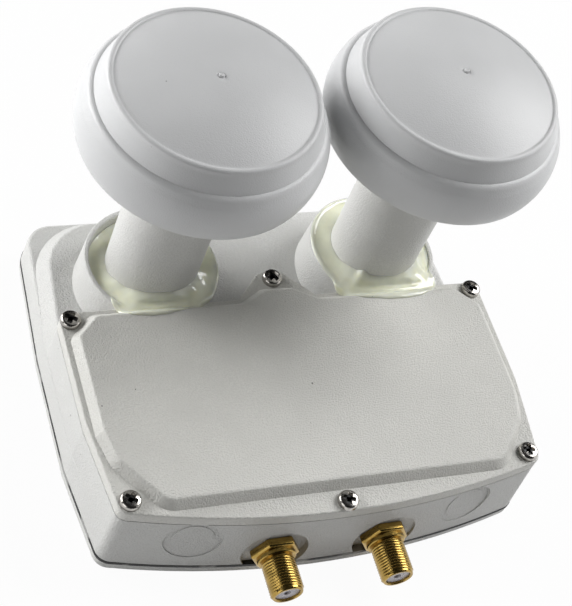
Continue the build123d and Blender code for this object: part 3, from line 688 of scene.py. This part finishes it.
class CONVERTER_OT_caps(bpy.types.Operator):
    """Moulds the weather caps, with a beaded rim round the face and a gate pip"""

    bl_idname = "converter.caps"
    bl_label = "Mould the caps"

    # Points of the section in millimetres, as (inset from the belly, height above the lip)
    lip = ((3.1, 0), (2.1, 0), (1.75, 0.08), (1.5, 0.3))
    skirt = ((1.5, 0), (0, 9.3), (1.7, 14.5))
    ledge = ((1.5, 13.6), (1.6, 14.0), (1.82, 14.42), (2.15, 14.78), (2.55, 15.03), (2.95, 15.17))
    band = ((3.22, 15.2), (5.2, 20.4))
    rim = (6.15, 20.7)
    groove = (7.05, 21.34)
    face_edge = (7.4, 21.45)
    inside = ((18.0, 22.9), (8.75, 20.3), (6.9, 19.8), (4.85, 13.5), (3.3, 13.5))
    inner_skirt = ((3.3, 13.4), (1.6, 9.3), (3.1, 0.1))
    # The gate pip and the dip round it, as shares of its radius and height
    pip = ((1.3, -0.15), (1.2, -0.6), (1.0, -0.6), (0.9, 0.5), (0.7, 0.95), (0.45, 1.0), (0.2, 0.8),
           (0.02, 0.75))
    crown_height = 25.7 * MM
    crown_wall = 1.6 * MM
    clearance = 0.17 * MM
    band_steps, bead_steps, face_steps = 6, 14, 23
    bead_start, bead_sweep = 5, 130

    def profile(self, reach, bottom, caps):
        """The section of a cap as (radius, height): outside from lip to axis, then inside to the lip."""
        belly = reach - self.clearance

        def at(point):
            return belly - point[0] * MM, bottom + point[1] * MM

        skirt = arc_points(*map(at, self.skirt), 40)
        points = [*map(at, self.lip), *skirt[2:-6], *map(at, self.ledge)]
        foot, top = (Vector(point) for point in self.band)
        points += [at(foot.lerp(top, k / self.band_steps)) for k in range(self.band_steps + 1)]
        rim_r, rim_z = at(self.rim)
        for k in range(self.bead_steps + 1):
            angle = math.radians(self.bead_start + self.bead_sweep * k / self.bead_steps)
            points.append((rim_r + caps.bead * math.cos(angle), rim_z + caps.bead * math.sin(angle)))
        points.append(at(self.groove))
        top_z = bottom + self.crown_height
        face_r, face_z = at(self.face_edge)
        inner_r = 1.5 * caps.pip_radius
        for k in range(self.face_steps + 1):
            radius = face_r + (inner_r - face_r) * k / self.face_steps
            points.append((radius, top_z - (top_z - face_z) * (radius / face_r) ** 2))
        points += [(caps.pip_radius * share, top_z + caps.pip_height * rise) for share, rise in self.pip]
        points.append((points[-1][0], top_z - self.crown_wall))
        points += [*map(at, self.inside), *arc_points(*map(at, self.inner_skirt), 12)]
        return points

    def execute(self, context):
        caps = context.scene.converter_caps
        material = plastic_material("cap_plastic", tuple(caps.colour), 0.4, depth=0.05 * MM)
        for side in SIDES:
            low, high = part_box("feed_cap_" + side)
            name = "cap_" + side
            shape = turned(self.profile((high.x - low.x) / 2, low.z, caps), 144)
            mesh = mesh_from(shape, name, sharp=math.radians(32))
            mesh.transform(Matrix.Translation((middle(low, high).x, middle(low, high).y, 0)))
            piece = add_piece(name, mesh, "cap_plastic", material)
            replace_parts(piece, "feed_cap_" + side)
        return {"FINISHED"}


def cover_height(y, flange_z, panel_z, edge_y):
    """The height of the cover's top at y: its rear flange, the panel's slope or the panel."""
    foot_y = edge_y - 1.5 * MM
    top_y = edge_y - 3.55 * MM
    share = min(1.0, max(0.0, (foot_y - y) / (foot_y - top_y)))
    return flange_z + share * (panel_z - flange_z)


class CONVERTER_OT_sealant(bpy.types.Operator):
    """Fills each collar with compound that climbs the neck and laps on to the cover"""

    bl_idname = "converter.sealant"
    bl_label = "Fill the collars"

    # Per side, (angle in degrees, millimetres) round the neck: 0 is right, 90 back, 180 left, 270 front
    reaches = {
        "left": ((0, 19.3), (28, 18.9), (52, 17.95), (90, 17.95), (180, 17.95), (213, 17.95), (223, 20.1),
                 (230, 21.0), (238, 21.3), (252, 19.9), (265, 19.1), (276, 18.5), (290, 18.6), (305, 19.3),
                 (317, 20.0), (332, 19.6)),
        "right": ((0, 17.95), (40, 17.95), (70, 18.7), (105, 19.2), (150, 19.3), (190, 19.2), (212, 19.6),
                  (222, 22.0), (230, 21.8), (241, 20.9), (257, 19.7), (271, 19.8), (285, 20.4), (298, 21.5),
                  (312, 22.5), (319, 22.2), (329, 18.4), (340, 17.95)),
    }
    neck_heights = {
        "left": ((0, 29.8), (45, 27.2), (90, 26.4), (135, 25.9), (180, 27.2), (215, 29.6), (240, 31.4),
                 (270, 32.7), (300, 32.2), (330, 31.0)),
        "right": ((0, 31.2), (45, 30.0), (90, 29.6), (150, 29.6), (195, 30.0), (225, 31.6), (235, 33.2),
                  (244, 32.0), (270, 32.6), (300, 33.2), (330, 32.6)),
    }
    wall_heights = {
        "left": ((0, 29.2), (30, 29.0), (55, 27.2), (90, 25.8), (135, 24.8), (180, 26.2), (214, 28.0),
                 (240, 29.0), (300, 29.0)),
        "right": ((0, 28.0), (40, 28.4), (75, 29.0), (180, 29.0), (240, 29.0), (300, 29.0), (340, 28.2)),
    }

    def along(self, table, degrees):
        """The value of a table at an angle, eased between its entries."""
        entries = list(table) + [(table[0][0] + 360, table[0][1])]
        for (start, first), (end, second) in zip(entries, entries[1:]):
            if start <= degrees <= end:
                share = (degrees - start) / (end - start)
                share = share * share * (3 - 2 * share)
                return (first + (second - first) * share) * MM
        raise ValueError("angle %.1f is outside the table" % degrees)

    def fill(self, side, settings):
        """The closed skin of one collar's compound, as a bmesh."""
        low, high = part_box("sealant_" + side)
        cover_low, cover_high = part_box("front_cover")
        rim_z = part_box("housing")[1].z
        flange_z = cover_low.z + FLANGE_HEIGHT
        axis_x = middle(low, high).x
        bore = (high.x - low.x) / 2
        neck_r = record_mounts["feed_neck_" + side]["dims"]["r_mm"] * MM - 0.1 * MM
        edge_y = -neck_r - 1.1 * MM
        columns, rows = 180, 30
        bead_w = 0.9 * MM
        shape = bmesh.new()
        top_rings, low_rings = [], []
        for k in range(columns):
            degrees = 360 * k / columns
            angle = math.radians(degrees)
            around = Vector((math.cos(angle), math.sin(angle), axis_x * 60))
            reach = self.along(self.reaches[side], degrees) + 0.12 * MM * noise.noise(around * 4)
            neck_z = self.along(self.neck_heights[side], degrees) + 0.25 * MM * noise.noise(around * 3)
            wall_z = self.along(self.wall_heights[side], degrees)
            inside = reach <= bore + 0.15 * MM
            top_ring, low_ring = [], []
            for j in range(rows):
                t = j / (rows - 1)
                radius = neck_r + (reach - neck_r) * t
                x, y = radius * math.cos(angle), radius * math.sin(angle)
                z = wall_z + (neck_z - wall_z) * (1 - t) ** 1.7
                bottom = z - 1.3 * MM * math.sqrt(max(0.0, 1 - abs(2 * t - 1) ** 3))
                if inside:
                    z += 0.45 * MM * t ** 9
                else:
                    ground = None
                    if y < edge_y:
                        ground = cover_height(y, flange_z, cover_high.z, edge_y)
                    elif radius > bore:
                        ground = rim_z - 0.1 * MM
                    if ground is not None:
                        near = max(0.0, 1 - (reach - radius) / bead_w)
                        z = max(ground, min(z, ground + 2.2 * MM)) if near < 1 else ground
                        edge_z = ground + settings.bead * math.sqrt(1 - near ** 2)
                        z = max(z * (1 - near) + ground * near, edge_z)
                        bottom = ground - 0.04 * MM
                ripple = noise.noise(Vector((x * 300, y * 300, axis_x * 100)))
                z += 0.16 * MM * ripple * math.sin(math.pi * t)
                top_ring.append(shape.verts.new((axis_x + x, y, z)))
                low_ring.append(shape.verts.new((axis_x + x, y, min(bottom, z - 0.01 * MM))))
            top_rings.append(top_ring)
            low_rings.append(low_ring)
        for k in range(columns):
            n = (k + 1) % columns
            for j in range(rows - 1):
                shape.faces.new((top_rings[k][j], top_rings[k][j + 1], top_rings[n][j + 1], top_rings[n][j]))
                shape.faces.new((low_rings[k][j], low_rings[n][j], low_rings[n][j + 1], low_rings[k][j + 1]))
            for j in (0, rows - 1):
                shape.faces.new((top_rings[k][j], top_rings[n][j], low_rings[n][j], low_rings[k][j]))
        return shape

    def execute(self, context):
        settings = context.scene.converter_sealant
        material = sealant_material(settings)
        for side in SIDES:
            name = "sealant_fill_" + side
            mesh = mesh_from(self.fill(side, settings), name)
            mesh = settled(mesh, name, ("SMOOTH", {"factor": 0.5, "iterations": 8}),
                           ("SUBSURF", {"levels": 1, "render_levels": 1}))
            piece = add_piece(name, mesh, "sealant", material)
            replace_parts(piece, "sealant_" + side)
        return {"FINISHED"}


class CONVERTER_OT_screws(bpy.types.Operator):
    """Sets pan-head screws with a cross recess in the cover, and a dark plug in each recess as painted shade
    """

    bl_idname = "converter.screws"
    bl_label = "Set the screws"

    def cross(self, width, wing, depth, taper):
        """A cross-shaped plug that narrows downwards from the origin."""
        shape = bmesh.new()
        for turn in (0, math.pi / 2):
            rows = []
            for z, share in ((0.0, 1.0), (-depth, taper)):
                half_w, half_t = width * share / 2, wing * (0.5 + 0.5 * share) / 2
                corners = [(half_w, half_t), (-half_w, half_t), (-half_w, -half_t), (half_w, -half_t)]
                spin = Matrix.Rotation(turn, 4, "Z")
                rows.append([shape.verts.new(spin @ Vector((x, y, z))) for x, y in corners])
            top, bottom = rows
            shape.faces.new(top)
            shape.faces.new(bottom[::-1])
            for k in range(4):
                n = (k + 1) % 4
                shape.faces.new((top[k], bottom[k], bottom[n], top[n]))
        return shape

    def head(self, radius, height, shank, settings):
        """A pan head with its recess cut out, and a dark plug in the recess that paints the shade inside it;
        both stand on the origin.
        """
        crown, side, flat, steps = 0.12, 0.38, 0.72, 9
        foot_z = -2 * MM
        profile = [(shank, foot_z), (shank, 0), (radius, 0), (radius, side * height)]
        for k in range(1, steps):
            angle = math.pi / 2 * k / steps
            profile.append((radius * (flat + (1 - flat) * math.cos(angle)),
                            height * (side + (1 - side - crown) * math.sin(angle))))
        for share in (0.9, 0.6, 0.3, 0.02):
            profile.append((radius * flat * share, height * (1 - crown * share ** 2)))
        profile.append((radius * 0.01, foot_z))
        solid = mesh_from(turned(profile, 48), "screw_head", sharp=math.radians(40))
        width = 2 * radius * settings.recess_share
        wing = width * settings.wing_share
        cutter_mesh = mesh_from(self.cross(width, wing, 0.8 * height, 0.55), "screw_cutter", sharp=0.3)
        cutter_mesh.transform(Matrix.Translation((0, 0, 1.02 * height)))
        cutter = linked_object("screw_cutter", cutter_mesh)
        cut = settled(solid, "screw_head", ("BOOLEAN", {"object": cutter, "operation": "DIFFERENCE",
                                                       "solver": "EXACT", "use_self": True}))
        bpy.data.objects.remove(cutter)
        cut.set_sharp_from_angle(angle=math.radians(35))
        plug = mesh_from(self.cross(0.9 * width, 0.96 * wing, 0.4 * height, 0.7), "screw_plug", sharp=0.3)
        plug.transform(Matrix.Translation((0, 0, 0.55 * height)))
        return cut, plug

    def execute(self, context):
        settings = context.scene.converter_screws
        flange_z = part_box("front_cover")[0].z + FLANGE_HEIGHT
        boxes = node_islands("front_cover_screws")
        low, high = boxes[0]
        radius = (high.x - low.x) / 2
        head, plug = self.head(radius, high.z - flange_z, 1.5 * MM, settings)
        nickel = metal_material("screw_nickel", (0.50, 0.48, 0.45), 0.2, tarnish=0.6)
        # Painted shade: a near-black plug sits in each cross recess, where only shade falls.
        dark = new_material("recess_dark", (0.012, 0.012, 0.012), 0.5)[0]
        places = point_mesh("screw_places", [Vector((middle(*b).x, middle(*b).y, flange_z)) for b in boxes])
        tree, names = scatter_tree()
        for name, mesh, material in (("cover_screws", head, nickel), ("screw_recesses", plug, dark)):
            mould = bpy.data.objects.new(name + "_mould", mesh)
            grown = grown_mesh(name, tree, names, places, Piece=mould, Seed=settings.seed, Material=material)
            bpy.data.objects.remove(mould)
            piece = add_piece(name, grown, "bright_screws", material)
            if material is nickel:
                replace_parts(piece, "front_cover_screws")
        return {"FINISHED"}


class CONVERTER_OT_connectors(bpy.types.Operator):
    """Makes the threaded connectors"""

    bl_idname = "converter.connectors"
    bl_label = "Make the connectors"

    def barrel(self, sizes, thread_r, length):
        """The turned part of a connector along Z, from its seat to its mouth."""
        root = thread_r - sizes.thread_depth
        bore = 3.4 * MM
        step = sizes.hexagon + sizes.collar
        edge = 0.25 * MM
        return [
            (bore, 0.2 * MM), (sizes.collar_radius, 0.2 * MM), (sizes.collar_radius, step - edge),
            (sizes.collar_radius - edge, step), (root, step), (root, length - 0.5 * MM),
            (root - 0.1 * MM, length - 0.15 * MM), (root - 0.25 * MM, length), (bore + 0.2 * MM, length),
            (bore, length - 0.2 * MM),
        ]

    def hexagon(self, across, height):
        """A chamfered hexagon with points on the X axis, as a bmesh."""
        shape = bmesh.new()
        corner = across / math.sqrt(3)
        rows = []
        for share, z in ((0.93, 0.0), (1.0, 0.12 * height), (1.0, 0.86 * height), (0.92, height)):
            row = []
            for k in range(6):
                angle = math.pi / 3 * k
                x, y = corner * share * math.cos(angle), corner * share * math.sin(angle)
                row.append(shape.verts.new((x, y, z)))
            rows.append(row)
        for lower, upper in zip(rows, rows[1:]):
            for k in range(6):
                n = (k + 1) % 6
                shape.faces.new((lower[k], lower[n], upper[n], upper[k]))
        shape.faces.new(rows[0][::-1])
        shape.faces.new(rows[-1])
        return shape

    def execute(self, context):
        sizes = context.scene.converter_connectors
        gold = metal_material(
            "connector_gold", tuple(sizes.colour), 0.24, tarnish=0.75, depth=0.004 * MM)
        insulator = plastic_material("insulator_white", (0.70, 0.68, 0.72), 0.4)
        # The centre contact is brass darkened to about a third: its own brass colour plus painted shade deep
        # in the connector's bore.
        contact = metal_material("contact_dark", (0.22, 0.17, 0.09), 0.45)
        tree, names = thread_tree()
        for side in SIDES:
            mount = record_mounts["connector_" + side]
            low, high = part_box("connector_shell_" + side)
            thread_r = mount["dims"]["r_mm"] * MM
            thread_l = mount["dims"]["length_mm"] * MM
            length = thread_l + sizes.hexagon + sizes.collar
            seat = Vector((middle(low, high).x, low.y + length, middle(low, high).z))
            stand = Matrix.Translation(seat) @ Matrix.Rotation(math.pi / 2, 4, "X")
            shape = turned(self.barrel(sizes, thread_r, length), 72)
            barrel = mesh_from(shape, "connector_barrel_" + side, sharp=math.radians(30))
            barrel.transform(stand)
            piece = add_piece("connector_barrel_" + side, barrel, "connector_gold", gold)
            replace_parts(piece, "connector_shell_" + side)
            name = "connector_hexagon_" + side
            nut = mesh_from(self.hexagon(high.z - low.z, sizes.hexagon), name)
            nut.transform(stand)
            nut = settled(nut, name, ("BEVEL", {"width": 0.22 * MM, "segments": 3, "limit_method": "ANGLE"}))
            nut.set_sharp_from_angle(angle=math.radians(25))
            add_piece(name, nut, "connector_gold", gold)
            run = thread_l - 1.1 * MM
            ridge = grown_mesh(
                "connector_thread_" + side, tree, names, point_mesh("thread_base", [seat]),
                Radius=thread_r - sizes.thread_depth, Length=run, Turns=run / sizes.pitch,
                Ridge=sizes.thread_depth, Width=0.9 * sizes.pitch, Material=gold,
                Place=seat - Vector((0, sizes.hexagon + sizes.collar + 0.4 * MM, 0)),
                Rotation=Vector((math.pi / 2, 0, 0)))
            ridge.shade_smooth()
            ridge.set_sharp_from_angle(angle=math.radians(80))
            add_piece("connector_thread_" + side, ridge, "connector_gold", gold)
            smoothed_node("connector_insulator_" + side, insulator, "insulator")
            smoothed_node("connector_contact_" + side, contact, "contact_brass")
        return {"FINISHED"}


class CONVERTER_OT_inside(bpy.types.Operator):
    """Finishes the boards, shield and parts inside"""

    bl_idname = "converter.inside"
    bl_label = "Finish the inside"

    def execute(self, context):
        board = plastic_material("board_green", (0.02, 0.12, 0.04), 0.35)
        black = plastic_material("package_black", (0.02, 0.02, 0.02), 0.5)
        ceramic = plastic_material("puck_ceramic", (0.6, 0.54, 0.42), 0.6)
        alloy = metal_material("shield_alloy", (0.6, 0.6, 0.61), 0.4, tarnish=0.8)
        zinc = metal_material("screw_zinc", (0.5, 0.5, 0.5), 0.35, tarnish=0.7)
        brass = metal_material("contact_brass", (0.6, 0.42, 0.16), 0.3, tarnish=0.7)
        finishes = {
            board: ("rf_board", "switch_board"),
            black: ("low_noise_transistors", "mixer_chips", "switch_chip", "voltage_regulator", "board_link"),
            ceramic: ("dielectric_resonators",),
            alloy: ("rf_shield", "storage_capacitors"),
            zinc: ("rear_cover_screws", "rf_shield_screws", "switch_board_screws"),
            brass: ("tuning_screws", "polarisation_probes"),
        }
        for material, nodes in finishes.items():
            for node in nodes:
                frame["nodes"][node].material_slots[0].material = material
        return {"FINISHED"}


# Stage


class CONVERTER_OT_stage(bpy.types.Operator):
    """Sets the floor, the softboxes, the room and the camera"""

    bl_idname = "converter.stage"
    bl_label = "Set the stage"

    softboxes = (
        ("left", (-0.622, 0.311, 0.307)),
        ("left_back", (-0.527, 0.507, 0.128)),
        ("right", (0.554, 0.098, 0.542)),
        ("right_front", (0.648, -0.364, 0.206)),
        ("front_left", (-0.665, -0.33, 0.206)),
    )
    softbox_size = 0.45
    aim = Vector((0, -0.02, 0.05))
    floor_half = 60.0
    floor_white = 0.96

    def floor(self):
        """A pale floor that shows white to the camera and in gloss, and keeps the converter's shadow."""
        half = self.floor_half
        corners = [(-half, -half, 0), (half, -half, 0), (half, half, 0), (-half, half, 0)]
        mesh = bpy.data.meshes.new("floor")
        mesh.from_pydata(corners, [], [(0, 1, 2, 3)])
        floor = linked_object("floor", mesh)
        material, tree, shader = new_material("floor_white", (0.8, 0.8, 0.8), 0.9)
        seen = tree.nodes.new("ShaderNodeLightPath")
        shown = math_node(tree, "MAXIMUM", seen.outputs["Is Camera Ray"], seen.outputs["Is Glossy Ray"])
        shown = math_node(tree, "MAXIMUM", shown, seen.outputs["Is Transmission Ray"])
        light = tree.nodes.new("ShaderNodeEmission")
        mix = tree.nodes.new("ShaderNodeMixShader")
        tree.links.new(math_node(tree, "MULTIPLY", shown, self.floor_white), mix.inputs[0])
        tree.links.new(shader.outputs[0], mix.inputs[1])
        tree.links.new(light.outputs[0], mix.inputs[2])
        tree.links.new(mix.outputs[0], tree.nodes["Material Output"].inputs["Surface"])
        mesh.materials.append(material)

    def lamp(self, name, place, power):
        """A square softbox that faces the converter."""
        data = bpy.data.lights.new(name, "AREA")
        data.shape = "SQUARE"
        data.size = self.softbox_size
        data.energy = power
        lamp = linked_object(name, data)
        lamp.location = place
        lamp.rotation_euler = (self.aim - Vector(place)).to_track_quat("-Z", "Y").to_euler()

    def execute(self, context):
        scene = context.scene
        stage = scene.converter_stage
        self.floor()
        for (name, place), power in zip(self.softboxes, stage.powers):
            self.lamp("lamp_" + name, place, power)
        room = bpy.data.worlds.new("room")
        room.use_nodes = True
        background = room.node_tree.nodes["Background"]
        background.inputs["Color"].default_value = (1, 1, 1, 1)
        background.inputs["Strength"].default_value = stage.sky
        scene.world = room
        scene.view_settings.view_transform = "Standard"
        data = bpy.data.cameras.new("camera")
        data.lens = stage.lens
        data.shift_x, data.shift_y = stage.shift
        camera = linked_object("camera", data)
        camera.location = stage.camera_place
        camera.rotation_euler = stage.camera_turn
        scene.camera = camera
        return {"FINISHED"}


class CONVERTER_PT_sidebar(bpy.types.Panel):
    """Lists the pieces and their settings"""

    bl_idname = "CONVERTER_PT_sidebar"
    bl_label = "Satellite converter"
    bl_space_type = "VIEW_3D"
    bl_region_type = "UI"
    bl_category = "Converter"

    def draw(self, context):
        for name in settings_types:
            for key in settings_types[name].__annotations__:
                self.layout.prop(getattr(context.scene, name), key)
        for operator in operators:
            self.layout.operator(operator.bl_idname)


settings_types = {
    "converter_paint": PaintSettings,
    "converter_caps": CapSettings,
    "converter_sealant": SealantSettings,
    "converter_screws": ScrewSettings,
    "converter_connectors": ConnectorSettings,
    "converter_stage": StageSettings,
}
operators = (
    CONVERTER_OT_castings,
    CONVERTER_OT_seals,
    CONVERTER_OT_caps,
    CONVERTER_OT_sealant,
    CONVERTER_OT_screws,
    CONVERTER_OT_connectors,
    CONVERTER_OT_inside,
    CONVERTER_OT_stage,
)


def register():
    for name, settings in settings_types.items():
        bpy.utils.register_class(settings)
        setattr(bpy.types.Scene, name, bpy.props.PointerProperty(type=settings))
    for operator in operators:
        bpy.utils.register_class(operator)
    bpy.utils.register_class(CONVERTER_PT_sidebar)


def unregister():
    bpy.utils.unregister_class(CONVERTER_PT_sidebar)
    for operator in reversed(operators):
        bpy.utils.unregister_class(operator)
    for name, settings in settings_types.items():
        delattr(bpy.types.Scene, name)
        bpy.utils.unregister_class(settings)


def main():
    register()
    for operator in operators:
        group, name = operator.bl_idname.split(".")
        getattr(getattr(bpy.ops, group), name)()


if __name__ == "__main__":
    main()
